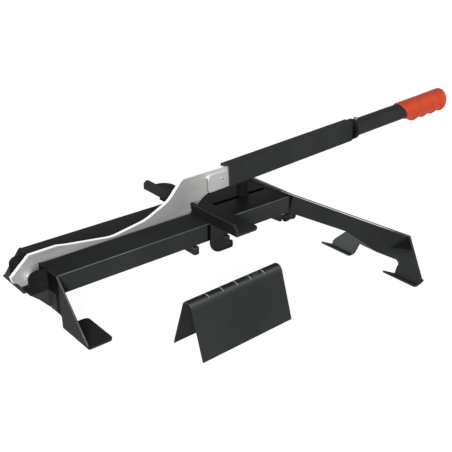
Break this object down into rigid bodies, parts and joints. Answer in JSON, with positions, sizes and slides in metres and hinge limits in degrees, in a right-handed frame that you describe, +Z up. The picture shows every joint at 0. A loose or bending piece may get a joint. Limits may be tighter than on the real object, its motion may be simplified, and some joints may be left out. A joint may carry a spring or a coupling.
{
  "type": "laminate flooring cutter",
  "caption": "Bench guillotine for laminate boards: a long pivoted blade with a lever handle closes between two beams on splayed feet, with a loose folded support.",
  "frame": {"origin": "on the floor, under the middle of the closed cutter's bounding box", "axes": "+X along the beams towards the grip, +Y to the rear away from the front leg, +Z up"},
  "size_m": [0.8146, 0.3756, 0.147],
  "materials": {
    "black_coat": "satin black powder coat",
    "blade_steel": "fine brushed, bright cut edges",
    "bright_steel": "turned, bright zinc",
    "dark_steel": "black oxide",
    "bumper_rubber": "matt moulded rubber",
    "button_chrome": "polished dome",
    "grip_orange": "soft moulded grip"
  },
  "bodies": {
    "base": {"front_beam": "black_coat", "rear_beam": "black_coat", "left_end_plate": "black_coat", "front_pivot_bracket": "black_coat", "rear_pivot_bracket": "black_coat", "bracket_gussets": "black_coat", "pivot_pin": "dark_steel", "pivot_spacers": "bright_steel", "fence": "black_coat", "front_fence_hook": "black_coat", "rear_fence_hook": "black_coat", "cross_ties": "black_coat", "bumper": "bumper_rubber", "bumper_strap": "black_coat", "bumper_screw": "dark_steel", "right_end_plate": "black_coat", "end_ears": "black_coat", "right_leg": "black_coat", "leg_bolts": "dark_steel", "leg_nuts": "dark_steel"},
    "blade_arm": {"blade": "blade_steel", "front_side_bar": "blade_steel", "rear_side_bar": "blade_steel", "bar_rivet": "bright_steel", "handle_channel": "black_coat", "handle_screws": "dark_steel", "handle_spigot": "dark_steel", "spigot_screw": "dark_steel"},
    "handle_extension": {"handle_tube": "black_coat", "grip": "grip_orange", "button_spring": "dark_steel"},
    "button": {"lock_button": "button_chrome"},
    "support": {"v_support": "black_coat"}
  },
  "joints": [
    {"name": "blade_swing", "type": "hinge", "parent": "base", "child": "blade_arm", "pos_m": [-0.38173, 0.07655, 0.053], "axis": [0, -1, 0], "range_deg": [0, 65]},
    {"name": "handle_pull", "type": "slide", "parent": "blade_arm", "child": "handle_extension", "axis": [0.9987, 0, 0.0515], "range_m": [0, 0.045]},
    {"name": "button_press", "type": "slide", "parent": "handle_extension", "child": "button", "axis": [0.0515, 0, -0.9987], "range_m": [0, 0.003], "stiffness_N_per_m": 300},
    {"name": "support_lift", "type": "slide", "parent": "base", "child": "support", "axis": [0, 0, 1], "range_m": [0, 0.1]}
  ]
}
